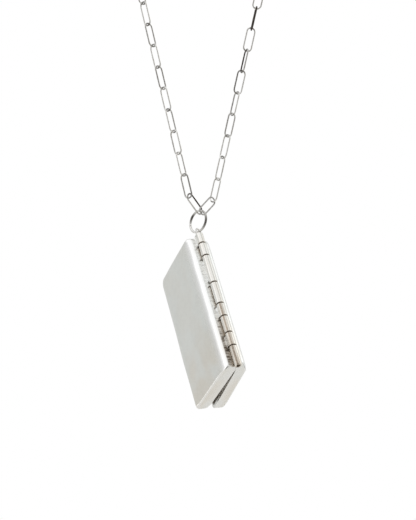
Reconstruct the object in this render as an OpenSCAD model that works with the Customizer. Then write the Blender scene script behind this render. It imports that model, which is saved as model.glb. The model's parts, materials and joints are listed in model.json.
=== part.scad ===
// A small two-part metal case shaped like a wallet, hung by its top spine corner from a
// jump ring on a loop of paperclip chain. Millimetres, +Z up, the wearer looks along -Y.
// The origin is the point at the nape of the neck that the chain hangs from.

/* [Case] */
// Length of the case along its hinge
case_h = 32.4; // [26:0.2:40]
// Width of each half, from the spine to the opening edge
case_w = 17.1; // [12:0.1:26]
// Thickness of each half
half_t = 2.7; // [2:0.1:4]
// Thickness of the sheet that the halves are made of
wall = 0.7; // [0.4:0.05:0.9]
// Rounding of the edges around each outer face
edge_r = 1.1; // [1:0.05:1.4]
// Rounding of the two corners at the opening edge
corner_r = 2; // [1.5:0.1:4]
// Rounding of the front half's rim along the opening edge
rim_r = 0.65; // [0.3:0.05:0.68]
// Gap between the two rims when the case is shut
rim_gap = 0.06; // [0.04:0.01:0.2]
// How far the case stands ajar, in degrees
ajar = 4.5; // [1:0.1:20]

/* [Hinge] */
// Outer diameter of the hinge tube
tube_d = 1.6; // [1.4:0.1:2]
// Distance from the hinge axis to the spine walls
axis_off = 0.95; // [0.9:0.05:1.3]
// Diameter of the hinge pin
pin_d = 0.8; // [0.6:0.05:0.9]
// Radial play between the pin and the back half's knuckles
pin_play = 0.03; // [0.01:0.01:0.08]
// Gap between two knuckles
knuckle_gap = 0.14; // [0.1:0.02:0.3]
// Thickness of the strip that joins a knuckle to its spine wall
leaf_t = 0.62; // [0.4:0.02:0.7]

/* [Ring and eye] */
// Outer diameter of the jump ring
ring_d = 5.3; // [4.6:0.1:6]
// Thickness of the jump ring's wire
ring_wire = 0.5; // [0.4:0.05:0.8]
// Turn of the jump ring about the vertical, in degrees
ring_turn = -47; // [-55:1:-40]
// Tip of the jump ring out of the vertical plane, in degrees
ring_tip = -10; // [-15:1:0]
// How far round its wire the jump ring has slipped on the last links, in degrees
ring_slip = 12; // [0:1:15]
// Width of the eye on the top knuckle, between the middles of its legs
eye_w = 1.24; // [1.2:0.02:1.26]
// Length of the eye's straight legs
eye_leg = 0.76; // [0.74:0.02:1.4]
// Thickness of the eye's wire
eye_wire = 0.34; // [0.26:0.02:0.34]
// Turn of the eye about the hinge axis, in degrees
eye_turn = 116; // [110:1:130]
// Height of the jump ring's lowest wire above the top knuckle
ring_seat = 0.62; // [0.61:0.01:0.68]

/* [Hang] */
// Turn of the case about the vertical, in degrees
case_yaw = -66.2; // [-90:0.1:90]
// Lean of the hinge in the plane of the case, in degrees
case_lean = -29.5; // [-50:0.1:0]
// Tip of the case out of the vertical plane, in degrees
case_tip = 2.6; // [-10:0.1:10]

/* [Chain] */
// Outer length of a link
link_l = 5.6; // [5.4:0.02:6]
// Outer width of a link
link_w = 2.1; // [1.8:0.1:2.4]
// Thickness of a link's wire
link_wire = 0.32; // [0.26:0.02:0.5]
// Clearance between two links
link_gap = 0.12; // [0.1:0.01:0.3]
// Links on each side, without the last one that holds the jump ring
link_count = 61; // [55:2:79]
// Radius of the loop behind the neck
neck_r = 49.8; // [45:0.2:60]
// Radius of the bend at each side of the neck
bend_r = 14; // [8:1:30]

/* [Clasp] */
// Outer diameter of the clasp ring
clasp_d = 6; // [5:0.5:9]
// Thickness of the clasp ring
clasp_wire = 1; // [0.8:0.1:1.4]

/* [Hidden] */
$fn = 48;
eps = 0.05;

// The strips keep this far from the plane where the two halves meet
leaf_gap = 0.08;
// The pin ends this far inside the tube: at the top, at the bottom
pin_short = [0.1, 0.5];
// The eye's legs reach this far down into the top knuckle
eye_root = 0.2;

// Knuckles from the top: length, side that carries it (-1 front, 1 back), inset of its strip
KNUCKLES = [
    [2.6, -1, 0.0],
    [3.2,  1, 0.3],
    [6.8, -1, 0.9],
    [5.2,  1, 0.3],
    [3.1, -1, 0.3],
    [3.9,  1, 0.5],
    [3.1, -1, 0.3],
    [4.5,  1, 0.3]
];

// Distance between the points where links meet, on a pulled chain
pitch = link_l - 2 * link_wire - link_gap;
// From such a point to the far inner end of the link
reach = link_l - 2 * link_wire - link_gap / 2;
// The last link of each side holds the jump ring, with this clearance in the link's end
hold_gap = 0.28;
// From its upper meeting point to the middle of the jump ring's wire
last_reach = reach - hold_gap - ring_wire / 2;

// The jump ring's own directions, to the right and up in its plane
ring_along = [cos(ring_turn), sin(ring_turn), 0];
ring_up = [sin(ring_turn) * sin(ring_tip), -cos(ring_turn) * sin(ring_tip), cos(ring_tip)];
ring_mid_r = (ring_d - ring_wire) / 2;

// Point of the jump ring's wire from the ring's middle, at an angle from the wire's highest point,
// and the wire's direction there
function on_ring(a) = ring_mid_r * (cos(a) * ring_up + sin(a) * ring_along);
function ring_dir(a) = cos(a) * ring_along - sin(a) * ring_up;

// The last links hold the wire this many degrees to either side of the point at ring_slip,
// and from that point the place of the hold is
hold_angle = 12;
function hold_offset(side) = on_ring(ring_slip + side * hold_angle) - on_ring(ring_slip);

// Where the last link's upper end lies from the point at ring_slip, on the right-hand side:
// to the side and behind it; and how far above it on each side
last_side = 2.6;
last_depth = 2;
function last_rise(side) =
    let (h = hold_offset(side))
    sqrt(pow(last_reach, 2) - pow(side * last_side - h[0], 2) - pow(side * last_depth - h[1], 2)) + h[2];

// The links above are let down by this much, and the last link of the right and of the left side
// is turned this far on its own length
slack = 0.3;
last_twist = [20, -8];

// Half of the loop: a straight strand, a bend at the neck's side and a quarter turn to the nape
clasp_mid_r = (clasp_d - clasp_wire) / 2;
clasp_hold = clasp_mid_r - clasp_wire / 2 - link_gap / 2;
turn_len = (neck_r + bend_r) * PI / 2;
strand_len = link_count * pitch - slack + clasp_hold - turn_len;
strand_slope = asin((neck_r - last_side) / (strand_len + bend_r));
bend_foot = [neck_r - bend_r * sin(strand_slope), -neck_r - bend_r, -bend_r * cos(strand_slope)];
strand_drop = sqrt(pow(strand_len, 2) - pow(bend_foot[0] - last_side, 2) - pow(last_depth, 2));
// The point of the jump ring's wire that hangs between the two last links
ring_top = [0, bend_foot[1], bend_foot[2] - strand_drop - (last_rise(1) + last_rise(-1)) / 2];

// Roll of the links about the chain's own line, in degrees, at link number k up from the ring
ROLL_RIGHT = [[0, -42], [1, -38], [3, -50], [5, -64], [7, -74], [9, -90], [60, -90]];
ROLL_LEFT = [[0, 38], [1, 38], [5, 45], [9, 48], [60, 90]];

function unit(v) = v / norm(v);
function mirror_x(p, side) = [side * p[0], p[1], p[2]];
function turn_z(v, a) = [v[0] * cos(a) - v[1] * sin(a), v[0] * sin(a) + v[1] * cos(a), v[2]];

// Top of the last link on one side; the right one lies behind the ring, the left one before it
function last_top(side) = ring_top + [side * last_side, side * last_depth, last_rise(side)];

// Point and normal of the half loop at a distance s above the last link
function strand_point(s, side) =
    last_top(side) + (mirror_x(bend_foot, side) - last_top(side)) * s / strand_len;
up_dir = [sin(strand_slope), 0, cos(strand_slope)];
function bend_point(a, side) =
    mirror_x(bend_foot + bend_r * (up_dir * sin(a) + [0, 1, 0] * (1 - cos(a))), side);
function neck_point(a, side) = [side * neck_r * cos(a), neck_r * (sin(a) - 1), 0];
function loop_point(s, side) =
    s < strand_len ? strand_point(s, side)
    : s < strand_len + bend_r * PI / 2 ? bend_point((s - strand_len) / bend_r * 180 / PI, side)
    : neck_point((s - strand_len) / neck_r * 180 / PI - 90 * bend_r / neck_r, side);
function loop_normal(s, side) =
    let (a = max(0, (s - strand_len) / neck_r * 180 / PI - 90 * bend_r / neck_r))
    mirror_x(turn_z([-cos(strand_slope), 0, sin(strand_slope)], a), side);

// The link from p to q, its flat turned to face n
module link_between(p, q, n) {
    x = unit(q - p);
    z = unit(n - (n * x) * x);
    y = cross(z, x);
    m = (p + q) / 2;
    multmatrix([[x[0], y[0], z[0], m[0]], [x[1], y[1], z[1], m[1]], [x[2], y[2], z[2], m[2]]]) link();
}

// One link lying flat, long along X, its ends half round
module link() {
    r = (link_w - link_wire) / 2;
    half = (link_l - link_w) / 2;
    for (side = [-1, 1]) {
        translate([-half, side * r, 0]) rotate([0, 90, 0]) cylinder(d = link_wire, h = 2 * half, $fn = 24);
        translate([side * half, 0, 0]) rotate(-90 * side)
            rotate_extrude(angle = 180, $fn = 24) translate([r, 0]) circle(d = link_wire, $fn = 24);
    }
}

// A torus of middle radius r and wire diameter w, flat in the XY plane
module wire_ring(r, w) {
    rotate_extrude() translate([r, 0]) circle(d = w, $fn = 32);
}

module chain_side(side, roll_table) {
    first = last_top(side);
    down = unit(ring_top + hold_offset(side) - first);
    wire_dir = ring_dir(ring_slip + side * hold_angle);
    flat = unit(wire_dir - (wire_dir * down) * down);
    twist = side > 0 ? last_twist[0] : last_twist[1];
    link_between(first, first + pitch * down, flat * cos(twist) + cross(down, flat) * sin(twist));
    for (k = [0:link_count - 1]) {
        s = k * pitch - slack;
        p = loop_point(s, side);
        q = loop_point(s + pitch, side);
        along = unit(q - p);
        n = loop_normal(s + pitch / 2, side);
        flat = unit(n - (n * along) * along);
        roll = side * (lookup(k, roll_table) + (k % 2 == 0 ? 90 : 0));
        link_between(p, q, flat * cos(roll) + cross(along, flat) * sin(roll));
    }
}

module chain_right() { color("silver") chain_side(1, ROLL_RIGHT); }
module chain_left() { color("silver") chain_side(-1, ROLL_LEFT); }

// A plain closed ring at the nape, the links pass through it
module clasp() {
    color("silver") wire_ring(clasp_mid_r, clasp_wire);
}

// The jump ring hangs below the last links
module jump_ring() {
    color("gainsboro") translate(ring_top - on_ring(ring_slip)) rotate([90 + ring_tip, 0, ring_turn])
        wire_ring(ring_mid_r, ring_wire);
}

// The case's own frame has the hinge axis on Z with its top at 0, the halves towards -X,
// the front half towards -Y. hang() puts it where it hangs, by the eye in the jump ring.
module hang() {
    translate(ring_top - 2 * ring_mid_r * cos(ring_slip) * ring_up) rotate([case_tip, case_lean, case_yaw])
        translate([0, 0, -ring_seat]) children();
}

// The pin ends a little inside the tube at both ends
module hinge_pin() {
    color("gainsboro") hang()
        translate([0, 0, pin_short[1] - case_h])
            cylinder(d = pin_d, h = case_h - pin_short[0] - pin_short[1]);
}

// The eye that is soldered on the top knuckle, two legs with half a ring on them
module eye() {
    rotate(eye_turn) {
        for (side = [-1, 1])
            translate([side * eye_w / 2, 0, -eye_root])
                cylinder(d = eye_wire, h = eye_leg + eye_root, $fn = 32);
        translate([0, 0, eye_leg]) rotate([90, 0, 0])
            rotate_extrude(angle = 180) translate([eye_w / 2, 0]) circle(d = eye_wire, $fn = 32);
    }
}

// Profile of a half's outer side at a corner: straight below, rounded at the top
module corner_profile(rc, r, t) {
    square([rc, t - r]);
    if (rc > r) square([rc - r, t]);
    translate([rc - r, t - r]) intersection() {
        circle(r);
        square(r);
    }
}

// A block from 0 to w in X, from 0 to h in Y and t thick, with its outer face's edge rounded
// by r; rs and ro round its corners at the spine (x = 0) and at the opening edge (x = w)
module soft_block(w, h, t, r, rs, ro) {
    for (c = [[rs, rs, 180, rs], [rs, h - rs, 90, rs], [w - ro, ro, 270, ro], [w - ro, h - ro, 0, ro]])
        translate([c[0], c[1], 0]) rotate(c[2])
            rotate_extrude(angle = 90) corner_profile(c[3], r, t);
    translate([rs, h - rs, 0]) rotate([90, 0, 0]) mirror([1, 0, 0])
        linear_extrude(h - 2 * rs) corner_profile(rs, r, t);
    translate([w - ro, h - ro, 0]) rotate([90, 0, 0])
        linear_extrude(h - 2 * ro) corner_profile(ro, r, t);
    translate([rs, r, 0]) rotate([90, 0, 90]) mirror([1, 0, 0])
        linear_extrude(w - rs - ro) corner_profile(r, r, t);
    translate([rs, h - r, 0]) rotate([90, 0, 90])
        linear_extrude(w - rs - ro) corner_profile(r, r, t);
    translate([rs, r, 0]) cube([w - rs - ro, h - 2 * r, t]);
}

// One hollow half, its open side on the plane z = 0
module tray() {
    difference() {
        soft_block(case_w, case_h, half_t, edge_r, edge_r, corner_r);
        translate([wall, wall, -eps])
            soft_block(case_w - 2 * wall, case_h - 2 * wall, half_t - wall + eps,
                edge_r - wall, edge_r - wall, corner_r - wall);
    }
}

// Stands a tray on its side of the shut case, beside the hinge
module place_half(side) {
    translate([-axis_off, side * rim_gap / 2, side > 0 ? -case_h : 0]) rotate([-side * 90, 180, 0])
        children();
}

function knuckle_top(i) = i == 0 ? 0 : knuckle_top(i - 1) - KNUCKLES[i - 1][0];

// The knuckles of one side with the strips that join them to the spine wall
module knuckles(side, bore) {
    for (i = [0:len(KNUCKLES) - 1]) if (KNUCKLES[i][1] == side) {
        top = knuckle_top(i) - (i == 0 ? 0 : knuckle_gap / 2);
        end = knuckle_top(i) - KNUCKLES[i][0] + (i == len(KNUCKLES) - 1 ? 0 : knuckle_gap / 2);
        inset = KNUCKLES[i][2];
        difference() {
            union() {
                translate([0, 0, end]) cylinder(d = tube_d, h = top - end);
                translate([-axis_off - eps, side > 0 ? leaf_gap : -leaf_gap - leaf_t, end + inset])
                    cube([axis_off + eps, leaf_t, top - end - 2 * inset]);
            }
            translate([0, 0, end - 1]) cylinder(d = bore, h = top - end + 2);
        }
    }
}

module front_cover() {
    color("gainsboro") hang() {
        difference() {
            place_half(-1) tray();
            translate([-axis_off - case_w, -rim_gap / 2, -case_h - 1]) rim_cutter();
        }
        knuckles(-1, pin_d);
        eye();
    }
}

// Takes the sharp edge off the rim along the opening edge
module rim_cutter() {
    difference() {
        translate([-1, -rim_r, 0]) cube([1 + rim_r, 1 + rim_r, case_h + 2]);
        translate([rim_r, -rim_r, -1]) cylinder(r = rim_r, h = case_h + 4);
    }
}

module back_cover() {
    color("silver") hang() rotate([0, 0, -ajar]) {
        place_half(1) tray();
        knuckles(1, pin_d + 2 * pin_play);
    }
}

chain_right();
chain_left();
clasp();
jump_ring();
hinge_pin();
front_cover();
back_cover();
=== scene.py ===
import bmesh
import bpy
import json
import math
import random
from mathutils import Euler, Matrix, Vector


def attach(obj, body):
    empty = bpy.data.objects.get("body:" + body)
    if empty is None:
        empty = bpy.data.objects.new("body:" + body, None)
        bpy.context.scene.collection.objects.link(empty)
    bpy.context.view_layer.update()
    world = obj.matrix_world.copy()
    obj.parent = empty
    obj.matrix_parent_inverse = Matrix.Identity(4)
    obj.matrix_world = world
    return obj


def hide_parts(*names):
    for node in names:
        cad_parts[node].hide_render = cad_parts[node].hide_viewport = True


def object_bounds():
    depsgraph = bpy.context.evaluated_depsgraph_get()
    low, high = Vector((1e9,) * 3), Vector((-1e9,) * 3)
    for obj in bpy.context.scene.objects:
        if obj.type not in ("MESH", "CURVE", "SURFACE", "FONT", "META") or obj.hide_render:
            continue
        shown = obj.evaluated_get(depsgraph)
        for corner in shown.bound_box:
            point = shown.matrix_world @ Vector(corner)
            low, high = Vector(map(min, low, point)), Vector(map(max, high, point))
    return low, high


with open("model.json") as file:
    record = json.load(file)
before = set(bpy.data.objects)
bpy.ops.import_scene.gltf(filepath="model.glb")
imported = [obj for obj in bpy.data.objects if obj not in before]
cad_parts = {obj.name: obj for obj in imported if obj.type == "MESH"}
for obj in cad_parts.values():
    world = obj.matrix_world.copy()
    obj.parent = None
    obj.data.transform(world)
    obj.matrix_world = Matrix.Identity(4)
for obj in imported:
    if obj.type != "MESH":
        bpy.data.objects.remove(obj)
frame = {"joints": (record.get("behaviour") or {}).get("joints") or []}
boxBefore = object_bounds()
mm = 0.001
joints = {joint["name"]: joint for joint in frame["joints"]}


# Curves that the shapes share

def soft(t):  # a smooth step from 0 to 1
    t = min(max(t, 0), 1)
    return t * t * (3 - 2 * t)


def bump(distance, reach):  # 1 in the middle, next to nothing past twice the reach
    return math.exp(-(distance / reach) ** 2)


def lookUp(key, table):  # straight between the entries of the table
    for (low, first), (high, second) in zip(table, table[1:]):
        if key <= high:
            return first + (second - first) * (max(key, low) - low) / (high - low)
    return table[-1][1]


# Node trees: a Wire is the output of a node and can be used in sums

class Wire:
    def __init__(self, wiring, socket):
        self.wiring = wiring
        self.socket = socket

    def calc(self, operation, *values):
        return self.wiring.node("ShaderNodeMath", {"operation": operation}, dict(enumerate(values)))

    def __add__(self, other):
        return self.calc("ADD", self, other)

    def __radd__(self, other):
        return self.calc("ADD", other, self)

    def __sub__(self, other):
        return self.calc("SUBTRACT", self, other)

    def __rsub__(self, other):
        return self.calc("SUBTRACT", other, self)

    def __mul__(self, other):
        return self.calc("MULTIPLY", self, other)

    def __rmul__(self, other):
        return self.calc("MULTIPLY", other, self)

    def __truediv__(self, other):
        return self.calc("DIVIDE", self, other)

    def fade(self, low, high, toLow=0.0, toHigh=1.0):  # a smooth step from low to high
        values = {0: self, 1: low, 2: high, 3: toLow, 4: toHigh}
        return self.wiring.node("ShaderNodeMapRange", {"interpolation_type": "SMOOTHSTEP"}, values)


class Wiring:
    def __init__(self, tree):
        self.tree = tree

    def node(self, kind, settings=None, values=None, output=0):
        made = self.tree.nodes.new(kind)
        for name, value in (settings or {}).items():
            setattr(made, name, value)
        for key, value in (values or {}).items():
            if isinstance(value, Wire):
                self.tree.links.new(value.socket, made.inputs[key])
            else:
                made.inputs[key].default_value = value
        return Wire(self, made.outputs[output]) if len(made.outputs) else None

    def mix(self, factor, first, second):
        return self.node("ShaderNodeMix", {"data_type": "RGBA"}, {0: factor, 6: first, 7: second}, output=2)

    def larger(self, first, second):
        return first.calc("MAXIMUM", first, second)

    def part(self, vector, axis):
        return self.node("ShaderNodeSeparateXYZ", {}, {0: vector}, output=axis)

    def scaled(self, place, scale):
        return self.node("ShaderNodeVectorMath", {"operation": "MULTIPLY"}, {0: place, 1: scale})

    def noise(self, place, scale, detail, roughness):
        values = {"Vector": place, "Scale": scale, "Detail": detail, "Roughness": roughness}
        return self.node("ShaderNodeTexNoise", {}, values)

    def stretched(self, place, scale, detail, roughness):  # a noise with its own scale along each axis
        return self.noise(self.scaled(place, scale), 1.0, detail, roughness)

    def relief(self, pattern, amounts, under=None):  # amounts: strength, and height in millimetres
        values = {"Strength": amounts[0], "Distance": amounts[1] * mm, "Height": pattern}
        if under is not None:
            values["Normal"] = under
        return self.node("ShaderNodeBump", {}, values)

    def number(self, name):
        return self.node("ShaderNodeAttribute", {"attribute_name": name}, {}, output=2)

    def vector(self, name):
        return self.node("ShaderNodeAttribute", {"attribute_name": name}, {}, output=1)

    def store(self, geometry, name, value):  # in a Geometry Nodes tree
        values = {"Geometry": geometry, "Name": name, "Value": value}
        return self.node("GeometryNodeStoreNamedAttribute", {"data_type": "FLOAT", "domain": "POINT"}, values)

    def stored(self, name):
        return self.node("GeometryNodeInputNamedAttribute", {"data_type": "FLOAT_VECTOR"}, {"Name": name})


def rgb(red, green, blue):
    return (red, green, blue, 1.0)


def newMaterial(name):
    material = bpy.data.materials.new(name)
    material.use_nodes = True
    material.node_tree.nodes.clear()
    return material, Wiring(material.node_tree)


def endMaterial(wiring, **sockets):
    values = {name.replace("_", " "): value for name, value in sockets.items()}
    shader = wiring.node("ShaderNodeBsdfPrincipled", {}, values)
    wiring.node("ShaderNodeOutputMaterial", {}, {"Surface": shader})


# Finishes. Lengths in them are millimetres, because the pieces carry their place in millimetres

caseLook = {
    # the tarnish colour also paints shade on the spine wall and in the hinge's gaps, slit and bore, and the
    # knuckles' dark reflections
    "silver": rgb(0.93, 0.945, 0.935), "warm": rgb(0.9, 0.84, 0.76), "tarnishAndShade": rgb(0.16, 0.13, 0.1),
    "brown": rgb(0.62, 0.5, 0.38), "cream": rgb(0.97, 0.93, 0.86), "polished": rgb(1.0, 1.0, 1.0),
    "satin": 0.3, "bright": 0.2, "inside": 0.5,  # roughness of the faces, the rubbed edges and the inside
    "brushRough": 0.12, "stainRough": 0.15, "tubeSmooth": 0.08,  # what these add to it or take off it
    "insideDull": 0.8,  # how far the inside has lost its shine
    # how fine the patterns are; the first three across the hinge, along it and outwards
    "brush": (9.0, 0.4, 9.0), "fileMarks": (0.7, 2.4, 0.7), "streaks": (2.2, 0.22, 2.2),
    "ripple": 0.16, "speck": 5.0, "cloud": 0.9,
    # strength and height of the bumps
    "brushRelief": (0.3, 0.015), "fileRelief": (0.7, 0.06), "rippleRelief": (0.5, 0.5),
    "lowEnd": (3.0, 16.0),  # the warmer lower end, with its browner streaks and the painted shade of the spine wall, fades out between these heights
    # how much there is of each stain; the file stain also sets how dark the spine wall's painted shade is
    "fileTicks": 0.3, "fileStainAndShade": 0.9, "insideSpecks": 0.12, "clouds": 0.035,
    # how much there is of each tint; where there are two numbers, everywhere and at the lower end
    "warmPatches": 0.15, "lowWarmth": (0.1, 0.4), "spineCream": 0.7, "tubeCream": (0.35, 0.45),
    # the crevice brown also tints the painted shade in the hinge's gaps, slit and bore and the knuckles'
    # painted dark reflections
    "tubeBrown": (0.15, 0.25), "insideBrown": 0.35, "soilAndPaintedShadeBrown": 0.6, "edgeShine": 0.8,
}


def caseMaterial(look):
    material, w = newMaterial("brushedCaseSilver")
    spot = w.vector("spot")  # place on the flat-lying half: across, along the hinge, outwards
    edge = w.number("edge")  # 1 on the rounded edges that rub bright
    inner = w.number("inner")  # 1 on the inner walls
    crevice = w.number("crevice")  # grime and tarnish where no polishing cloth reaches, with painted shade in the hinge's gaps, slit and bore, and the knuckles' painted dark reflections
    spine = w.number("spine")  # 1 on the front half's spine wall, which was only filed; it carries the file marks and a painted shade at its lower end
    tube = w.number("tube")  # 1 on the hinge's knuckles
    outward = w.part(spot, 2)
    brush = w.stretched(spot, look["brush"], 4.0, 0.6)
    marks = w.stretched(spot, look["fileMarks"], 3.0, 0.6)
    streak = w.stretched(spot, look["streaks"], 2.0, 0.5)
    ripple = w.noise(spot, look["ripple"], 1.0, 0.4)
    speck = w.noise(spot, look["speck"], 3.0, 0.65)
    cloud = w.noise(spot, look["cloud"], 3.0, 0.6)
    lowDown = 1 - w.part(spot, 1).fade(*look["lowEnd"])

    # painted shade: the spine wall darkens towards its lower end and its outer side, broken up by the file
    # marks
    lowShade = lowDown * outward.fade(0.45, 1.0) * (0.5 + marks.fade(0.3, 0.6) * 0.5)
    filedAndShaded = spine * (marks.fade(0.48, 0.62) * look["fileTicks"] + lowShade)
    # the stain mixes real tarnish with painted shade and painted dark reflections
    stainAndShade = w.larger(filedAndShaded * look["fileStainAndShade"], crevice * (0.55 + speck.fade(0.35, 0.6) * 0.45))
    stainAndShade = w.larger(stainAndShade, inner * speck.fade(0.45, 0.75) * look["insideSpecks"])
    stainAndShade = w.larger(stainAndShade, cloud.fade(0.4, 0.7) * look["clouds"])

    lowWarmth = look["lowWarmth"][0] + ripple.fade(0.35, 0.6) * look["lowWarmth"][1]
    warmth = ripple.fade(0.4, 0.62) * look["warmPatches"] + lowDown * lowWarmth
    tubeCream = tube * (look["tubeCream"][0] + lowDown * look["tubeCream"][1])
    tubeBrown = tube * streak.fade(0.48, 0.6) * (look["tubeBrown"][0] + lowDown * look["tubeBrown"][1])
    # brown of the inside, and of the tarnish and painted shade in the hinge
    innerAndShadeBrown = inner * look["insideBrown"] + crevice.fade(0.1, 0.5) * look["soilAndPaintedShadeBrown"]
    tint = w.mix(warmth, look["silver"], look["warm"])
    tint = w.mix(spine * lowDown * look["spineCream"] + tubeCream, tint, look["cream"])
    tint = w.mix(tubeBrown, tint, look["brown"])
    tint = w.mix(innerAndShadeBrown, tint, look["brown"])
    tint = w.mix(edge * (1 - tube) * look["edgeShine"], tint, look["polished"])
    colour = w.mix(stainAndShade, tint, look["tarnishAndShade"])

    rubbed, dulled = look["satin"] - look["bright"], look["inside"] - look["satin"]
    roughness = look["satin"] - edge * rubbed + inner * dulled
    roughness = roughness + (brush - 0.5) * look["brushRough"] + stainAndShade * look["stainRough"]
    roughness = roughness - tube * look["tubeSmooth"]
    normal = w.relief(brush, look["brushRelief"])
    normal = w.relief(marks * spine, look["fileRelief"], normal)
    normal = w.relief(ripple, look["rippleRelief"], normal)
    metallic = 1 - inner * look["insideDull"]
    endMaterial(w, Base_Color=colour, Roughness=roughness, Metallic=metallic, Normal=normal)
    return material


wireLook = {
    # the tarnish colour also paints the jump ring's dark reflections
    "silver": rgb(0.9, 0.89, 0.87), "warm": rgb(0.6, 0.52, 0.43), "tarnishAndShade": rgb(0.07, 0.06, 0.05),
    "polish": 0.1, "worn": 0.24,  # roughness of the clean and the scratched wire
    "blotch": 0.8, "scratch": 9.0,  # how fine the blotches and the scratches are
    "rubStain": 0.85, "warmBlotches": 0.35, "stainRough": 0.2, "scratchRelief": (0.3, 0.01),
}


def wireMaterial(name, look):
    material, w = newMaterial(name)
    metres = 1 / mm
    spot = w.scaled(w.node("ShaderNodeTexCoord", output=3), (metres, metres, metres))
    blotch = w.noise(spot, look["blotch"], 3.0, 0.55)
    scratch = w.noise(spot, look["scratch"], 3.0, 0.7)
    rubbed = w.number("rub")  # 1 at the ends of a link, where its neighbour rubs
    tone = w.number("tone")  # how dark a link has gone; on the jump ring, the painted dark reflections along its wire
    flank = w.number("flank")  # from -1 to 1 across a link
    lean = w.number("lean")  # how much darker one of its two long sides is
    uneven = tone * (1 + lean * flank)
    rubStain = rubbed * blotch.fade(0.3, 0.6) * look["rubStain"]
    stainAndShade = w.larger(rubStain, uneven.calc("MINIMUM", uneven, 1.0))
    warm = w.mix(blotch.fade(0.45, 0.75, 0.0, look["warmBlotches"]), look["silver"], look["warm"])
    colour = w.mix(stainAndShade, warm, look["tarnishAndShade"])
    scratched = scratch.fade(0.35, 0.75) * (look["worn"] - look["polish"])
    roughness = look["polish"] + scratched + stainAndShade * look["stainRough"]
    normal = w.relief(scratch, look["scratchRelief"])
    endMaterial(w, Base_Color=colour, Roughness=roughness, Metallic=1.0, Normal=normal)
    return material


caseSilver = caseMaterial(caseLook)
chainSilver = wireMaterial("polishedChainSilver", wireLook)
ringSilver = wireMaterial("polishedRingSilver", dict(wireLook, blotch=0.5, scratch=6.0))
print("finishes:", caseSilver.name, chainSilver.name, ringSilver.name)


# Meshes

sharpAngle = math.radians(38)  # faces that meet at a larger angle show a crease


def meshObject(name, vertices, faces, material, smooth=True):
    mesh = bpy.data.meshes.new(name)
    mesh.from_pydata([tuple(v) for v in vertices], [], faces)
    mesh.materials.append(material)
    mesh.validate()
    if smooth:
        mesh.shade_smooth()
    made = bpy.data.objects.new(name, mesh)
    bpy.context.scene.collection.objects.link(made)
    return made


def setNumbers(mesh, name, values):
    mesh.attributes.new(name, "FLOAT", "POINT").data.foreach_set("value", values)


def setPlaces(mesh, name, places):
    flat = [number for place in places for number in place]
    mesh.attributes.new(name, "FLOAT_VECTOR", "POINT").data.foreach_set("vector", flat)


def bridge(rows, closed):  # faces between rows of vertex numbers, each row a closed ring
    faces = []
    count = len(rows[0])
    pairs = list(zip(rows, rows[1:])) + ([(rows[-1], rows[0])] if closed else [])
    for low, high in pairs:
        for i in range(count):
            j = (i + 1) % count
            faces.append((low[i], low[j], high[j], high[i]))
    return faces


def sweepTube(points, radii, sides):  # a round wire along the points, its ends capped
    vertices, rows = [], []
    side = None
    for i, point in enumerate(points):
        ahead, behind = points[min(i + 1, len(points) - 1)], points[max(i - 1, 0)]
        along = (ahead - behind).normalized()
        if side is None:
            side = along.orthogonal().normalized()
        else:
            side = (side - along * side.dot(along)).normalized()
        up = along.cross(side)
        rows.append(range(len(vertices), len(vertices) + sides))
        for k in range(sides):
            turn = 2 * math.pi * k / sides
            vertices.append(point + radii[i] * (math.cos(turn) * side + math.sin(turn) * up))
    faces = bridge(rows, False)
    faces += [tuple(reversed(rows[0])), tuple(rows[-1])]
    return vertices, faces


# Chain: the same half loop as in the part's source, in millimetres

chain = {
    "linkLength": 5.6, "linkWidth": 2.1, "linkWire": 0.32, "linkGap": 0.12, "linkCount": 61,
    "neckRadius": 49.8, "bendRadius": 14.0,
    "claspOuter": 6.0, "claspWire": 1.0,
    "ringOuter": 5.3, "ringWire": 0.5, "ringTurn": -47.0, "ringTip": -10.0, "ringSlip": 12.0,
    "holdGap": 0.28, "holdAngle": 12.0, "lastSide": 2.6, "lastDepth": 2.0, "slack": 0.3,
    "lastTwist": {1: 20.0, -1: -8.0},
    # how far the links are rolled about their length, from the ring up: link number and degrees
    "roll": {1: [(0, -42), (1, -38), (3, -50), (5, -64), (7, -74), (9, -90), (60, -90)],
             -1: [(0, 38), (1, 38), (5, 45), (9, 48), (60, 90)]},
    # how dark the lowest links have gone, by their number; the others are drawn at random
    "tone": {1: {0: 0.5, 1: 0.0, 2: 0.06, 3: 0.0, 4: 0.34, 5: 0.25, 6: 0.42, 7: 0.7, 8: 0.15, 9: 1.0},
             -1: {0: 0.7, 1: 0.5, 2: 0.12, 3: 0.12, 4: 0.2, 5: 0.02, 6: 0.5, 7: 0.0, 8: 0.4, 9: 0.02}},
    "mildTone": (0.0, 0.3), "seed": 4,
    # which links are darker on one long side, and by how much
    "lean": {1: {2: 1.0, 4: -0.3, 5: 1.0, 6: -0.8, 7: 0.5},
             -1: {0: 0.5, 1: -0.3, 2: -1.0, 3: 1.0, 4: -0.9}},
    "solder": 0.09,  # how much thicker the wire is where a link is soldered shut
    "roundingSteps": 7, "pathPoints": 64, "wireSides": 10,
}


def rolled(flat, along, angle):
    return flat * math.cos(angle) + along.cross(flat) * math.sin(angle)


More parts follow.
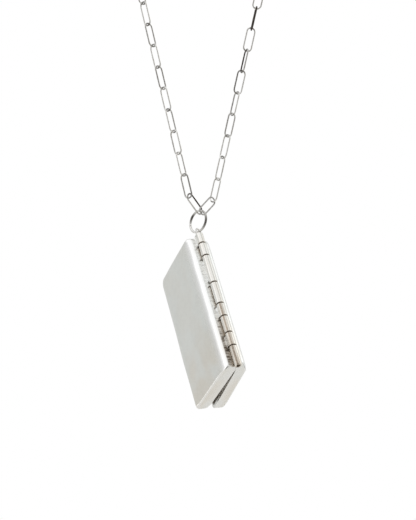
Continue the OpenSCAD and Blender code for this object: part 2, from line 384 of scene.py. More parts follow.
class ChainPath:
    def __init__(self, c):
        self.c = c
        self.pitch = c["linkLength"] - 2 * c["linkWire"] - c["linkGap"]
        reach = c["linkLength"] - 2 * c["linkWire"] - c["linkGap"] / 2
        self.lastReach = reach - c["holdGap"] - c["ringWire"] / 2
        turn, tip = math.radians(c["ringTurn"]), math.radians(c["ringTip"])
        self.slip, self.hold = math.radians(c["ringSlip"]), math.radians(c["holdAngle"])
        self.ringRadius = (c["ringOuter"] - c["ringWire"]) / 2
        self.ringAlong = Vector((math.cos(turn), math.sin(turn), 0))
        self.ringUp = Vector((math.sin(turn) * math.sin(tip), -math.cos(turn) * math.sin(tip), math.cos(tip)))
        claspHold = (c["claspOuter"] - c["claspWire"]) / 2 - c["claspWire"] / 2 - c["linkGap"] / 2
        turnLength = (c["neckRadius"] + c["bendRadius"]) * math.pi / 2
        self.strand = c["linkCount"] * self.pitch - c["slack"] + claspHold - turnLength
        self.slope = math.asin((c["neckRadius"] - c["lastSide"]) / (self.strand + c["bendRadius"]))
        self.foot = Vector((c["neckRadius"] - c["bendRadius"] * math.sin(self.slope),
                            -c["neckRadius"] - c["bendRadius"], -c["bendRadius"] * math.cos(self.slope)))
        drop = math.sqrt(self.strand ** 2 - (self.foot.x - c["lastSide"]) ** 2 - c["lastDepth"] ** 2)
        rise = (self.lastRise(1) + self.lastRise(-1)) / 2
        self.ringTop = Vector((0, self.foot.y, self.foot.z - drop - rise))

    def onRing(self, a):  # from the ring's middle to its wire, at an angle from the wire's highest point
        return self.ringRadius * (math.cos(a) * self.ringUp + math.sin(a) * self.ringAlong)

    def holdOffset(self, side):  # where a last link holds the wire, from the ring's top
        return self.onRing(self.slip + side * self.hold) - self.onRing(self.slip)

    def lastRise(self, side):  # how high a last link's other end is above the ring's top
        h = self.holdOffset(side)
        across = side * self.c["lastSide"] - h.x, side * self.c["lastDepth"] - h.y
        return math.sqrt(self.lastReach ** 2 - across[0] ** 2 - across[1] ** 2) + h.z

    def lastTop(self, side):  # where a last link hangs in its strand
        across, deep = side * self.c["lastSide"], side * self.c["lastDepth"]
        return self.ringTop + Vector((across, deep, self.lastRise(side)))

    def point(self, s, side):  # at length s up the strand, over the shoulder bend and round the neck
        mirror = Vector((side, 1, 1))
        neck, bend = self.c["neckRadius"], self.c["bendRadius"]
        if s < self.strand:
            top = self.lastTop(side)
            return top + (self.foot * mirror - top) * (s / self.strand)
        past = s - self.strand
        if past < bend * math.pi / 2:
            a = past / bend
            up = Vector((math.sin(self.slope), 0, math.cos(self.slope)))
            return (self.foot + bend * (up * math.sin(a) + Vector((0, 1 - math.cos(a), 0)))) * mirror
        a = (past - bend * math.pi / 2) / neck
        return Vector((side * neck * math.cos(a), neck * (math.sin(a) - 1), 0))

    def normal(self, s, side):  # across the chain at length s, towards the inside of the loop
        bend = self.c["bendRadius"] * math.pi / 2
        a = max(0, s - self.strand - bend) / self.c["neckRadius"]
        flat = Vector((-math.cos(self.slope), 0, math.sin(self.slope)))
        flat.rotate(Euler((0, 0, a)))
        return flat * Vector((side, 1, 1))

    def places(self, side):  # middle, direction and facing of every link of one side
        first = self.lastTop(side)
        down = (self.ringTop + self.holdOffset(side) - first).normalized()
        a = self.slip + side * self.hold
        wireAlong = math.cos(a) * self.ringAlong - math.sin(a) * self.ringUp
        flat = (wireAlong - wireAlong.dot(down) * down).normalized()
        twist = math.radians(self.c["lastTwist"][side])
        found = [(first + down * self.pitch / 2, down, rolled(flat, down, twist))]
        for k in range(self.c["linkCount"]):
            s = k * self.pitch - self.c["slack"]
            low, high = self.point(s, side), self.point(s + self.pitch, side)
            along = (high - low).normalized()
            n = self.normal(s + self.pitch / 2, side)
            flat = (n - n.dot(along) * along).normalized()
            quarterTurn = 90 if k % 2 == 0 else 0  # each link lies across its neighbours
            roll = side * math.radians(lookUp(k, self.c["roll"][side]) + quarterTurn)
            found.append(((low + high) / 2, along, rolled(flat, along, roll)))
        return found


def linkTree():  # a stadium of round wire on every point, turned by the point's own directions
    tree = bpy.data.node_groups.new("chainLinks", "GeometryNodeTree")
    tree.is_modifier = True
    sockets = [("Points", "NodeSocketGeometry"), ("Link length", "NodeSocketFloat"),
               ("Link width", "NodeSocketFloat"), ("Wire", "NodeSocketFloat"), ("Solder", "NodeSocketFloat"),
               ("Rounding steps", "NodeSocketInt"), ("Path points", "NodeSocketInt"),
               ("Wire sides", "NodeSocketInt"), ("Finish", "NodeSocketMaterial")]
    named = {name: tree.interface.new_socket(name, in_out="INPUT", socket_type=kind).identifier
             for name, kind in sockets}
    tree.interface.new_socket("Links", in_out="OUTPUT", socket_type="NodeSocketGeometry")
    w = Wiring(tree)
    given = tree.nodes.new("NodeGroupInput")
    take = {name: Wire(w, given.outputs[name]) for name, kind in sockets}
    length = take["Link length"] - take["Wire"]
    width = take["Link width"] - take["Wire"]
    outline = w.node("GeometryNodeCurvePrimitiveQuadrilateral", {}, {"Width": length, "Height": width})
    endRadius = width * 0.499  # just under half, so that the two corners of an end don't meet
    rounded = w.node("GeometryNodeFilletCurve", {"mode": "POLY"},
                     {"Curve": outline, "Count": take["Rounding steps"], "Radius": endRadius})
    path = w.node("GeometryNodeResampleCurve", {}, {"Curve": rounded, "Count": take["Path points"]})
    place = w.node("GeometryNodeInputPosition")
    across, side = w.part(place, 0), w.part(place, 1)
    fromSeam = across.calc("ABSOLUTE", across) / take["Wire"]  # in thicknesses of the wire
    bead = (1 - fromSeam.fade(0.3, 1.6)) * side.calc("GREATER_THAN", side, 0.0) * take["Solder"]
    swollen = w.node("GeometryNodeSetCurveRadius", {}, {"Curve": path, "Radius": 1 + bead})
    outwards = across.calc("ABSOLUTE", across) / length * 2  # 0 in the middle of a link, 1 at its ends
    marked = w.store(swollen, "rub", outwards.fade(0.72, 0.98))
    marked = w.store(marked, "flank", side / width * 2)
    profile = w.node("GeometryNodeCurvePrimitiveCircle", {},
                     {"Resolution": take["Wire sides"], "Radius": take["Wire"] * 0.5})
    wire = w.node("GeometryNodeCurveToMesh", {},
                  {"Curve": marked, "Profile Curve": profile, "Scale": 1 + bead})
    smooth = w.node("GeometryNodeSetShadeSmooth", {}, {0: wire, 2: True})
    turn = w.node("FunctionNodeAxesToRotation", {"primary_axis": "X", "secondary_axis": "Z"},
                  {0: w.stored("along"), 1: w.stored("facing")})
    placed = w.node("GeometryNodeInstanceOnPoints", {},
                    {"Points": take["Points"], "Instance": smooth, "Rotation": turn})
    real = w.node("GeometryNodeRealizeInstances", {}, {0: placed})
    finished = w.node("GeometryNodeSetMaterial", {}, {"Geometry": real, "Material": take["Finish"]})
    w.node("NodeGroupOutput", {}, {0: finished})
    return tree, named


def plainMesh(made):  # the modifier's result, as the object's own mesh
    result = bpy.data.meshes.new_from_object(made.evaluated_get(bpy.context.evaluated_depsgraph_get()))
    made.modifiers.clear()
    made.data = result
    return made


def makeChain(name, path, side, tree, named):
    places = path.places(side)
    mesh = bpy.data.meshes.new(name)
    mesh.from_pydata([tuple(middle * mm) for middle, along, facing in places], [], [])
    setPlaces(mesh, "along", [along for middle, along, facing in places])
    setPlaces(mesh, "facing", [facing for middle, along, facing in places])
    dark, uneven = chain["tone"][side], chain["lean"][side]
    mild = random.Random(chain["seed"] + side)
    setNumbers(mesh, "tone", [dark.get(k, mild.uniform(*chain["mildTone"])) for k in range(len(places))])
    setNumbers(mesh, "lean", [uneven.get(k, 0.0) for k in range(len(places))])
    made = bpy.data.objects.new(name, mesh)
    bpy.context.scene.collection.objects.link(made)
    modifier = made.modifiers.new("links", "NODES")
    modifier.node_group = tree
    inputs = {"Link length": chain["linkLength"] * mm, "Link width": chain["linkWidth"] * mm,
              "Wire": chain["linkWire"] * mm, "Solder": chain["solder"],
              "Rounding steps": chain["roundingSteps"], "Path points": chain["pathPoints"],
              "Wire sides": chain["wireSides"], "Finish": chainSilver}
    for label, value in inputs.items():
        modifier[named[label]] = value
    return plainMesh(made)


path = ChainPath(chain)
links, linkInputs = linkTree()
chainSides = {"chainRight": makeChain("chainRight", path, 1, links, linkInputs),
              "chainLeft": makeChain("chainLeft", path, -1, links, linkInputs)}
for made, node in zip(chainSides.values(), ("chain_right", "chain_left")):
    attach(made, "chain")
    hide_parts(node)
print("chain:", [len(made.data.polygons) for made in chainSides.values()], "faces; ring top", path.ringTop)


# Rings: the clasp ring at the nape and the jump ring

rings = {
    "sides": 20, "steps": 96,  # faces round the wire and points along it
    "cut": 0.02,  # width of the closed cut
    "cutTurn": 200.0,  # where the jump ring's cut lies, in degrees from the ring's right side
    # painted dark reflections on lengths of the jump ring: degrees from the cut, reach and amount
    "dark": [(310, 28, 0.95), (155, 48, 0.85)],
}


# painted dark reflection along the jump ring's wire, by its turn from the cut
def ringTone(turn, dark):
    tones = [amount * bump((turn - middle + 180) % 360 - 180, reach) for middle, reach, amount in dark]
    return max(tones + [0.0])


def wireRing(name, centre, along, up, radius, wire, material, dark=()):
    sides, steps = rings["sides"], rings["steps"]
    start = rings["cut"] / radius / 2
    points = []
    for i in range(steps):
        a = start + (2 * math.pi - 2 * start) * i / (steps - 1)
        points.append((centre + radius * (math.cos(a) * along + math.sin(a) * up)) * mm)
    vertices, faces = sweepTube(points, [wire / 2 * mm] * steps, sides)
    made = meshObject(name, vertices, faces, material)
    tones = []
    for i in range(steps):
        tones += [ringTone(360 * i / (steps - 1), dark)] * sides
    setNumbers(made.data, "rub", [0.0] * len(vertices))
    setNumbers(made.data, "tone", tones)
    return made


claspRadius = (chain["claspOuter"] - chain["claspWire"]) / 2
clasp = wireRing("claspRing", Vector((0, 0, 0)), Vector((1, 0, 0)), Vector((0, 1, 0)),
                 claspRadius, chain["claspWire"], chainSilver)
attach(clasp, "chain")
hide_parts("clasp")

ringCentre = path.ringTop - path.onRing(path.slip)
cutTurn = math.radians(rings["cutTurn"])
cutSide = math.cos(cutTurn) * path.ringAlong + math.sin(cutTurn) * path.ringUp
cutUp = math.cos(cutTurn) * path.ringUp - math.sin(cutTurn) * path.ringAlong
jumpRing = wireRing("jumpRing", ringCentre, cutSide, cutUp, path.ringRadius, chain["ringWire"],
                    ringSilver, rings["dark"])
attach(jumpRing, "pendant")
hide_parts("jump_ring")
print("rings:", len(clasp.data.polygons), len(jumpRing.data.polygons), "faces")


# Case. Each half is built lying flat: x from the spine to the opening edge, y along the hinge, z outwards.
# side is -1 for the front half and 1 for the back half

case = {
    "height": 32.4, "width": 17.1, "depth": 2.7, "wall": 0.7, "rimGap": 0.06, "ajar": 4.5,
    # the rounding of the outer face along its edges: how far it reaches over the face, how far down
    # the wall, and how full it is (1 for a part of a circle)
    "edges": {"bottom": (0.4, 0.4, 1.0), "open": (1.2, 1.4, 1.0), "top": (0.8, 0.8, 1.0),
              "spine": (2.8, 1.6, 0.87)},
    "backBottom": (0.9, 0.9, 1.0),  # the back half's bottom edge is rounder
    # outline corners from the lower open one anticlockwise, of the front and the back half
    "corners": {-1: (1.1, 2.0, 1.1, 1.1), 1: (1.1, 2.0, 2.3, 2.0)},
    "tipReach": 3.2, "tipRound": (0.9, 1.4),  # how the bottom edge rounds out towards the opening side
    # rounding of the front half's rim at the opening side: it starts rimStart before the edge, and is
    # full rimRun further on
    "rimOver": 0.65, "rimDown": 1.3, "rimStart": 2.0, "rimRun": 1.5,
    "softEdge": 0.09, "lipShare": 0.4,  # the rim's outer edge, and its inner one as a share of that
    "innerFillet": 0.45, "dome": 0.07, "smallestCorner": 0.03,
    "middleStrip": 0.4,  # half of the width that the rows of a face leave in its middle
    "spineSkin": 0.05,  # how deep the file marks and the painted shade of the spine wall reach round its edges
    "rimRubbed": 0.8, "lipRubbed": 0.6, "lipInner": 0.5,  # what the finish reads on the rim's two edges
    "faceSteps": 8, "arcSteps": 12, "rimSteps": 6, "filletSteps": 4,
    "yaw": -66.2, "lean": -29.5, "tip": 2.6,
}
sides = ("bottom", "open", "top", "spine")  # in the order in which an outline runs
cornerSteps, sideSteps = 8, (18, 10)  # parts of a rounded corner, and of a long and a short side
dents = {  # of the front half, worn by hand: middle, reach and depth
    "face": [((8.5, 9.5), (3.2, 6.0), -0.08), ((13.0, 17.0), (3.0, 6.0), 0.05),
             ((9.0, 26.0), (5.0, 4.0), 0.04)],
    "openEdge": (12.0, 4.6, 0.22), "topEdge": (9.5, 5.0, 0.12),
}
hinge = {
    "tube": 1.6, "axisOff": 0.95, "pin": 0.8, "play": 0.03, "pressPlay": 0.01, "gap": 0.14,
    "bevel": 0.07, "tubeSteps": 40,
    # the leaf that joins a knuckle to its wall: thickness, place, overlaps with both, bevel
    "leaf": 0.62, "leafGap": 0.08, "leafInWall": 0.05, "leafInTube": 0.35, "leafBevel": 0.04,
    "pinShort": (0.1, 0.5), "pinBevel": 0.05, "pinSides": 24,  # pinShort: at the top and at the bottom
    "pinRub": 0.6, "pinTone": 0.2,
    # from the top: length, side that carries it, and how much shorter its leaf is at each end
    "knuckles": [(2.6, -1, 0.0), (3.2, 1, 0.3), (6.8, -1, 0.9), (5.2, 1, 0.3), (3.1, -1, 0.3),
                 (3.9, 1, 0.5), (3.1, -1, 0.3), (4.5, 1, 0.3)],
    # the painted dark reflection along each knuckle: how dark, its turn about the axis and its reach, in
    # radians
    "darkReflections": [0.05, 0.1, 0.2, 0.2, 0.8, 0.65, 0.75, 1.0], "bandTurn": -0.55, "bandReach": 0.32,
    # outline of the solder beside a knuckle, across and outwards
    "solder": [(-1.0, 0.85), (-0.92, 0.62), (-0.8, 0.5), (-0.6, 0.52), (-0.6, 0.1), (-1.0, 0.1)],
    "solderTube": 0.8,  # how far the solder has the knuckles' finish
    "eyeWidth": 1.24, "eyeLeg": 0.76, "eyeWire": 0.34, "eyeTurn": 116.0, "eyeRoot": 0.2,
    "eyeSteps": 18, "eyeSides": 16,
    # how bright each kind of piece is rubbed, and how much grime it has kept; at the knuckles' meeting ends
    # and in the bore this is tarnish with painted shade
    "rubbed": {"tube": 0.3, "leaf": 0.4, "solder": 0.4, "eye": 0.5},
    "grimeAndShade": {"tube": 0.1, "leaf": 0.12, "solder": 0.1, "eye": 0.25, "tubeEdge": 0.7, "bore": 1.0},
}


def outline(insets, side):  # a rounded rectangle, anticlockwise from its lower open corner
    wide, high = case["width"], case["height"]
    bottom, opened, top, spine = insets
    corners = []
    for k, base in enumerate(case["corners"][side]):
        insetX = opened if k < 2 else spine
        insetY = top if k in (1, 2) else bottom
        rx, ry = (max(base - inset, case["smallestCorner"]) for inset in (insetX, insetY))
        x = wide - opened - rx if k < 2 else spine + rx
        y = high - top - ry if k in (1, 2) else bottom + ry
        turns = [math.pi / 2 * (k - 1 + i / cornerSteps) for i in range(cornerSteps + 1)]
        corners.append([(x + rx * math.cos(a), y + ry * math.sin(a)) for a in turns])
    points = []
    for k, arc in enumerate(corners):
        (x, y), (nextX, nextY) = arc[-1], corners[(k + 1) % 4][0]
        count = sideSteps[k % 2]
        points += arc
        points += [(x + (nextX - x) * i / count, y + (nextY - y) * i / count) for i in range(1, count)]
    return points


def outlineShares():  # how much each point of an outline belongs to each side
    shares = []
    for k in range(4):
        before, after = sides[k], sides[(k + 1) % 4]
        for i in range(cornerSteps + 1):
            t = soft(i / cornerSteps)
            shares.append({before: 1 - t, after: t})
        shares += [{after: 1.0}] * (sideSteps[k % 2] - 1)
    return shares


shares = outlineShares()


def edgeRow(angle, side):  # the rounded outer edge: 0 where it leaves the wall, a quarter turn at the face
    insets, heights = [], {}
    for name in sides:
        over, down, power = case["backBottom"] if side > 0 and name == "bottom" else case["edges"][name]
        insets.append(over * (1 - math.cos(angle) ** power))
        heights[name] = case["depth"] - down * (1 - math.sin(angle) ** power)
    tipOver, tipDown = case["tipRound"]
    row = []
    for (x, y), weights in zip(outline(insets, side), shares):
        z = sum(share * heights[name] for name, share in weights.items())
        tip = soft((x - case["width"] + case["tipReach"]) / case["tipReach"]) * weights.get("bottom", 0.0)
        y += tip * (tipOver - case["edges"]["bottom"][0]) * (1 - math.cos(angle))
        z = min(z, case["depth"] - tip * tipDown * (1 - math.sin(angle)))
        row.append((x, y, z))
    return row


def rimReach(x, side):  # how far the rim's outer edge is rounded at distance x from the spine: over, down
    small = case["softEdge"]
    if side > 0:
        return small, small
    t = soft((x - (case["width"] - case["rimStart"])) / case["rimRun"])
    return small + (case["rimOver"] - small) * t, small + (case["rimDown"] - small) * t


def trayRows(side):  # rows of (point, edge, inner) from the outer face's middle over the rim to the inside
    depth, wall, lip = case["depth"], case["wall"], case["softEdge"] * case["lipShare"]
    middle = case["width"] / 2 - case["middleStrip"]
    rows = []

    def level(insets, z, edge, inner):
        rows.append([(Vector((x, y, z)), edge, inner) for x, y in outline(insets, side)])

    for k in range(case["faceSteps"]):  # the outer face, slightly domed
        t = k / case["faceSteps"]
        insets = [middle + (case["edges"][name][0] - middle) * t for name in sides]
        level(insets, depth + case["dome"] * (1 - t * t), 0.0, 0.0)
    for k in range(case["arcSteps"] + 1):  # its rounded edge
        t = k / case["arcSteps"]
        glow = math.sin(math.pi * t)
        rows.append([(Vector(spot), glow, 0.0) for spot in edgeRow(math.pi / 2 * (1 - t), side)])
    for k in range(case["rimSteps"] + 1):  # the rim's outer edge
        a = math.pi / 2 * k / case["rimSteps"]
        row = []
        for (x, y), (fx, fy) in zip(outline([0] * 4, side), outline([1] * 4, side)):
            over, down = rimReach(x, side)
            t = over * (1 - math.cos(a))
            spot = Vector((x + (fx - x) * t, y + (fy - y) * t, down * (1 - math.sin(a))))
            row.append((spot, case["rimRubbed"], 0.0))
        rows.append(row)
    level([wall - lip] * 4, 0.0, case["lipRubbed"], case["lipInner"])  # the rim's inner edge
    level([wall] * 4, lip, case["lipRubbed"], case["lipInner"])
    fillet, ceiling = case["innerFillet"], depth - wall
    for k in range(case["filletSteps"] + 1):
        a = math.pi / 2 * k / case["filletSteps"]
        inset = wall + fillet * (1 - math.cos(a))
        level([inset] * 4, ceiling - fillet + fillet * math.sin(a), 0.0, 1.0)
    level([middle] * 4, ceiling, 0.0, 1.0)
    return rows


def dented(spot):  # the front half's hand-worn unevenness
    x, y, z = spot
    wide, high = case["width"], case["height"]
    place, reach, amount = dents["openEdge"]
    moved = x + amount * bump(y - place, reach) * (x / wide) ** 3
    place, reach, amount = dents["topEdge"]
    lifted = y + amount * bump(x - place, reach) * (y / high) ** 3
    outward = max(0.0, z / case["depth"]) ** 2
    for (mx, my), (rx, ry), amount in dents["face"]:
        z -= amount * bump(x - mx, rx) * bump(y - my, ry) * outward
    return Vector((moved, lifted, z))


hingeTop = Vector(joints["cover_hinge"]["pos_m"])
hang = Euler([math.radians(case[key]) for key in ("tip", "lean", "yaw")]).to_matrix()


def placeHalf(side, spot):  # from the flat-lying half to the case's own frame, the hinge on Z
    x, y, z = spot
    turned = Vector((-x, -z, y)) if side < 0 else Vector((-x, z, y))
    return turned + Vector((-hinge["axisOff"], side * case["rimGap"] / 2, -case["height"]))


def placeCase(side, spot):  # from the case's own frame to where it hangs
    ajar = Matrix.Rotation(math.radians(-case["ajar"]), 3, "Z") if side > 0 else Matrix.Identity(3)
    return hingeTop + hang @ (ajar @ spot) * mm


def flatSpot(x, y, z):  # what the finish reads at a place in the case's own frame
    return (x, z + case["height"], y)


pileValues = ("edge", "inner", "crevice", "spine", "tube")


class Pile:  # gathers closed shapes of one half, with what the finish reads at each point
    def __init__(self):
        self.vertices, self.faces, self.spot = [], [], []
        self.values = {name: [] for name in pileValues}

    def add(self, points, faces, spots, **values):  # a value is one number, or a list with one for each point
        start = len(self.vertices)
        self.vertices += points
        self.faces += [tuple(start + i for i in face) for face in faces]
        self.spot += spots
        for name in pileValues:
            value = values.get(name, 0.0)
            self.values[name] += value if isinstance(value, list) else [value] * len(points)


def addTray(pile, side):
    numbers, points, spots, edge, inner, spine = [], [], [], [], [], []
    for row in trayRows(side):
        numbers.append(list(range(len(points), len(points) + len(row))))
        for (spot, edgeValue, innerValue), weights in zip(row, shares):
            spot = dented(spot) if side < 0 else spot
            points.append(placeCase(side, placeHalf(side, spot)))
            spots.append(tuple(spot))
            edge.append(edgeValue)
            inner.append(innerValue)
            filedAndShaded = side < 0 and spot.x < case["spineSkin"]
            spine.append(weights.get("spine", 0.0) * (1 - innerValue) if filedAndShaded else 0.0)
    faces = [face[::-1] if side < 0 else face for face in bridge(numbers, False)]
    first, last = tuple(numbers[0]), tuple(numbers[-1])
    faces += [first, last[::-1]] if side < 0 else [first[::-1], last]
    pile.add(points, faces, spots, edge=edge, inner=inner, spine=spine)


def addLathe(pile, side, profile, darkReflection):  # (radius, z, grime and painted shade) rows turned about the hinge axis; the last argument is the strength of a painted dark reflection along the knuckle
    points, spots, numbers, crevice = [], [], [], []
    steps = hinge["tubeSteps"]
    for radius, z, dark in profile:
        numbers.append(list(range(len(points), len(points) + steps)))
        for k in range(steps):
            a = 2 * math.pi * k / steps
            spot = (radius * math.cos(a), radius * math.sin(a), z)
            points.append(placeCase(side, Vector(spot)))
            spots.append(flatSpot(*spot))
            towardWall = max(0.0, -math.cos(a)) ** 3 if side > 0 else 0.0  # painted shade in the slit at the front half's wall
            # painted dark reflection: a streak at a fixed turn about the knuckle's axis
            turned = (a - hinge["bandTurn"] + math.pi) % (2 * math.pi) - math.pi
            crevice.append(max(dark, towardWall, darkReflection * bump(turned, hinge["bandReach"])))
    faces = bridge(numbers, True)
    pile.add(points, faces, spots, edge=hinge["rubbed"]["tube"], crevice=crevice, tube=1.0)


def addBlock(pile, side, low, high, bevel):  # a leaf with small bevels, in the case's own frame
    shape = bmesh.new()
    bmesh.ops.create_cube(shape, size=1.0)
    for v in shape.verts:
        v.co = Vector([low[i] + (v.co[i] + 0.5) * (high[i] - low[i]) for i in range(3)])
    bmesh.ops.bevel(shape, geom=shape.edges[:], offset=bevel, segments=2, profile=0.6, affect="EDGES")
    shape.verts.index_update()
    points = [placeCase(side, v.co) for v in shape.verts]
    spots = [flatSpot(*v.co) for v in shape.verts]
    faces = [tuple(v.index for v in face.verts) for face in shape.faces]
    shape.free()
    pile.add(points, faces, spots, edge=hinge["rubbed"]["leaf"], crevice=hinge["grimeAndShade"]["leaf"])


def addSolder(pile, side, low, high):  # the solder in the groove between a knuckle and its own wall
    points = [placeCase(side, Vector((x, side * y, z))) for z in (low, high) for x, y in hinge["solder"]]
    spots = [flatSpot(x, y, z) for z in (low, high) for x, y in hinge["solder"]]
    count = len(hinge["solder"])
    faces = bridge([range(count), range(count, 2 * count)], False)
    faces += [tuple(reversed(range(count))), tuple(range(count, 2 * count))]
    if side < 0:
        faces = [tuple(reversed(face)) for face in faces]
    pile.add(points, faces, spots, edge=hinge["rubbed"]["solder"], crevice=hinge["grimeAndShade"]["solder"],
             tube=hinge["solderTube"])


def knuckleProfile(low, high, bore, below, above):  # below and above: 1 where that end meets a knuckle; these ends and the bore get tarnish with painted shade
    r, b, bevel = hinge["tube"] / 2, bore / 2, hinge["bevel"]
    plain, rounding, deep = (hinge["grimeAndShade"][key] for key in ("tube", "tubeEdge", "bore"))
    return [(r - bevel, low, below), (r - bevel * 0.3, low + bevel * 0.3, below),
            (r, low + bevel, below * rounding), (r, low + bevel * 2, plain),
            (r, high - bevel * 2, plain), (r, high - bevel, above * rounding),
            (r - bevel * 0.3, high - bevel * 0.3, above), (r - bevel, high, above),
            (b + bevel / 2, high, above), (b, high - bevel / 2, deep),
            (b, low + bevel / 2, max(below, 0.5)), (b + bevel / 2, low, below)]


def addHinge(pile, side, bore):
    top = 0.0
    last = len(hinge["knuckles"]) - 1
    for i, (length, carrier, inset) in enumerate(hinge["knuckles"]):
        high = top - (hinge["gap"] / 2 if i > 0 else 0)
        low = top - length + (hinge["gap"] / 2 if i < last else 0)
        top -= length
        if carrier != side:
            continue
        below = 0.0 if i == last else 1.0  # the tube's two open ends are polished
        above = 0.0 if i == 0 else 1.0
        addLathe(pile, side, knuckleProfile(low, high, bore, below, above), hinge["darkReflections"][i])
        near, far = hinge["leafGap"], hinge["leafGap"] + hinge["leaf"]
        leafLow = (-hinge["axisOff"] - hinge["leafInWall"], min(side * near, side * far), low + inset)
        leafHigh = (-hinge["tube"] / 2 + hinge["leafInTube"], max(side * near, side * far), high - inset)
        addBlock(pile, side, leafLow, leafHigh, hinge["leafBevel"])
        addSolder(pile, side, low + inset, high - inset)


def addEye(pile):
    half, leg, root = hinge["eyeWidth"] / 2, hinge["eyeLeg"], hinge["eyeRoot"]
    turn = Matrix.Rotation(math.radians(hinge["eyeTurn"]), 3, "Z")
    local = [Vector((half, 0, -root)), Vector((half, 0, leg / 2))]
    for k in range(hinge["eyeSteps"] + 1):
        a = math.pi * k / hinge["eyeSteps"]
        local.append(Vector((half * math.cos(a), 0, leg + half * math.sin(a))))
    local += [Vector((-half, 0, leg / 2)), Vector((-half, 0, -root))]
    radii = [hinge["eyeWire"] / 2] * len(local)
    vertices, faces = sweepTube([turn @ spot for spot in local], radii, hinge["eyeSides"])
    points, spots = [placeCase(-1, v) for v in vertices], [flatSpot(*v) for v in vertices]
    pile.add(points, faces, spots, edge=hinge["rubbed"]["eye"], crevice=hinge["grimeAndShade"]["eye"])


def makeHalf(name, side):
    pile = Pile()
    addTray(pile, side)
    addHinge(pile, side, hinge["pin"] + 2 * (hinge["play"] if side > 0 else hinge["pressPlay"]))
    if side < 0:
        addEye(pile)
    made = meshObject(name, pile.vertices, pile.faces, caseSilver)
    setPlaces(made.data, "spot", pile.spot)
    for label, values in pile.values.items():
        setNumbers(made.data, label, values)
    made.data.set_sharp_from_angle(angle=sharpAngle)
    return made


frontHalf = makeHalf("frontHalf", -1)
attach(frontHalf, "pendant")
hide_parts("front_cover")
backHalf = makeHalf("backHalf", 1)
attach(backHalf, "back_half")
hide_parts("back_cover")


def makePin():
    radius, bevel = hinge["pin"] / 2, hinge["pinBevel"]
    low = hinge["pinShort"][1] - case["height"]
    high = -hinge["pinShort"][0]
    points = [Vector((0, 0, z)) for z in (low, low + bevel, high - bevel, high)]
    radii = [radius - bevel, radius, radius, radius - bevel]
    vertices, faces = sweepTube(points, radii, hinge["pinSides"])
    made = meshObject("hingePin", [placeCase(-1, v) for v in vertices], faces, ringSilver)
    setNumbers(made.data, "rub", [hinge["pinRub"]] * len(vertices))
    setNumbers(made.data, "tone", [hinge["pinTone"]] * len(vertices))
    made.data.set_sharp_from_angle(angle=sharpAngle)
    return made


pin = makePin()
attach(pin, "pendant")
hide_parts("hinge_pin")
print("case:", len(frontHalf.data.polygons), len(backHalf.data.polygons), "faces")


# Camera, floor and light

view = {"focus": 1234.0, "distance": 261.2, "lookUp": 6.5, "roll": 0.35, "hingeTopPixel": (199.1, 234.2),
        "framePixels": (416, 520), "sensor": 36.0, "clip": (0.01, 20.0)}


def makeCamera(v):
    data = bpy.data.cameras.new("photoCamera")
    data.sensor_width = v["sensor"]
    data.lens = v["sensor"] * v["focus"] / max(v["framePixels"])
    data.clip_start, data.clip_end = v["clip"]
    camera = bpy.data.objects.new("photoCamera", data)
    bpy.context.scene.collection.objects.link(camera)
    up = math.radians(v["lookUp"])
    forward = Vector((0, math.cos(up), math.sin(up)))
    turned = Matrix.Rotation(math.radians(v["roll"]), 3, forward)
    upward = turned @ Vector((0, -math.sin(up), math.cos(up)))
    across = turned @ Vector((1, 0, 0))
    right = (v["hingeTopPixel"][0] - v["framePixels"][0] / 2) / v["focus"] * v["distance"]
    down = (v["hingeTopPixel"][1] - v["framePixels"][1] / 2) / v["focus"] * v["distance"]
    camera.location = hingeTop + (down * upward - v["distance"] * forward - right * across) * mm
    camera.rotation_euler = (turned @ Matrix.Rotation(math.pi / 2 + up, 3, "X")).to_euler()
    bpy.context.scene.camera = camera


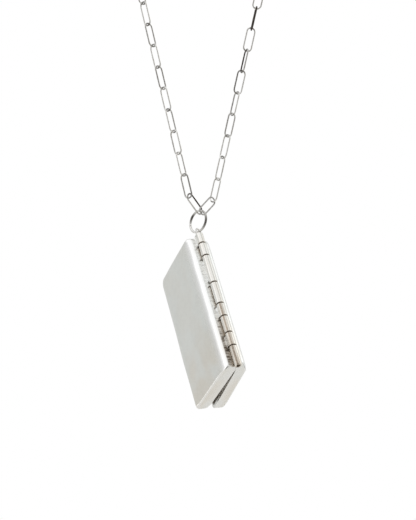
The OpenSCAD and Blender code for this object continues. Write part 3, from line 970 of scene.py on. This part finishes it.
studio = {
    "base": rgb(0.15, 0.145, 0.14), "background": rgb(1.0, 1.0, 1.0),
    # direction, where it is full and where it ends (as the cosine of the angle), colour
    "patches": [
        ((-0.5, 0.8, 0.1), 0.85, 0.35, rgb(0.59, 0.595, 0.575)),  # pale wall behind at the left, in the face
        ((-0.68, 0.73, 0.03), 0.9976, 0.986, rgb(0.66, 0.66, 0.64)),  # a lighter part of it
        ((0.2, 0.58, -0.79), 0.85, 0.5, rgb(0.62, 0.6, 0.55)),  # table below, in the bottom walls
        ((0.62, 0.66, 0.42), 0.9, 0.6, rgb(0.76, 0.765, 0.75)),  # wall behind at the right
        ((-0.85, -0.5, 0.05), 0.95, 0.8, rgb(0.75, 0.75, 0.74)),  # card at the left, in the left strand
        ((-0.2, -0.56, 0.8), 0.97, -0.12, rgb(1.03, 1.03, 1.03)),  # window above, in the end of the fold
        ((0.6, 0.05, 0.8), 0.93, 0.75, rgb(0.68, 0.68, 0.66)),  # ceiling at the right, in the spine walls
        ((0.75, 0.3, 0.6), 0.97, 0.935, rgb(1.05, 1.05, 1.03)),  # strip light at the right, in the knuckles
        ((0.79, -0.6, 0.0), 0.9, 0.65, rgb(0.72, 0.72, 0.7)),  # card at the right, in the lower corner
        ((-0.05, -0.98, 0.1), 0.95, 0.75, rgb(0.12, 0.11, 0.1)),  # the dark camera side
    ],
    "floorShade": rgb(0.85, 0.84, 0.815), "floorPale": rgb(0.88, 0.87, 0.845), "floorGrain": 90.0,
    "floorDrop": 0.16, "floorRadius": 0.7, "floorSteps": 96,  # floorDrop: under the lowest point
    # place, size and power of each lamp
    "lamps": {"softboxLeft": ((-0.7, -0.45, 0.35), 0.5, 0.1), "softboxRight": ((0.8, -0.1, 0.25), 0.5, 0.3),
              "cardLow": ((-0.32, 0.1, -0.45), 0.2, 0.12)},
}


def makeWorld(s):
    world = bpy.data.worlds.new("studio")
    bpy.context.scene.world = world
    world.use_nodes = True
    world.node_tree.nodes.clear()
    w = Wiring(world.node_tree)
    direction = w.node("ShaderNodeTexCoord", output=0)
    colour = w.mix(0.0, s["base"], s["base"])
    for toward, full, end, tint in s["patches"]:
        values = {0: direction, 1: Vector(toward).normalized()}
        reach = w.node("ShaderNodeVectorMath", {"operation": "DOT_PRODUCT"}, values, output=1)
        colour = w.mix(reach.fade(end, full), colour, tint)
    seen = w.node("ShaderNodeLightPath", output=0)
    shown = w.mix(seen, colour, s["background"])
    light = w.node("ShaderNodeBackground", {}, {"Color": shown, "Strength": 1.0})
    w.node("ShaderNodeOutputWorld", {}, {"Surface": light})


def makeFloor(s):
    material, w = newMaterial("paleFloor")
    grain = w.noise(w.node("ShaderNodeTexCoord", output=3), s["floorGrain"], 3.0, 0.6)
    colour = w.mix(grain.fade(0.3, 0.7), s["floorShade"], s["floorPale"])
    endMaterial(w, Base_Color=colour, Roughness=0.8)
    height = boxBefore[0].z - s["floorDrop"]
    steps, radius = s["floorSteps"], s["floorRadius"]
    turns = [2 * math.pi * k / steps for k in range(steps)]
    rim = [Vector((radius * math.cos(a), radius * math.sin(a), height)) for a in turns]
    floor = meshObject("floor", rim, [tuple(range(steps))], material, False)


def makeLamp(name, place, size, power):
    data = bpy.data.lights.new(name, "AREA")
    data.shape, data.size, data.energy = "DISK", size, power
    lamp = bpy.data.objects.new(name, data)
    bpy.context.scene.collection.objects.link(lamp)
    lamp.location = place
    middle = (boxBefore[0] + boxBefore[1]) / 2
    lamp.rotation_euler = (middle - Vector(place)).to_track_quat("-Z", "Y").to_euler()


makeCamera(view)
makeWorld(studio)
makeFloor(studio)
for name, settings in studio["lamps"].items():
    makeLamp(name, *settings)
bpy.context.scene.view_settings.view_transform = "Standard"
print("camera, world, floor and lamps made")
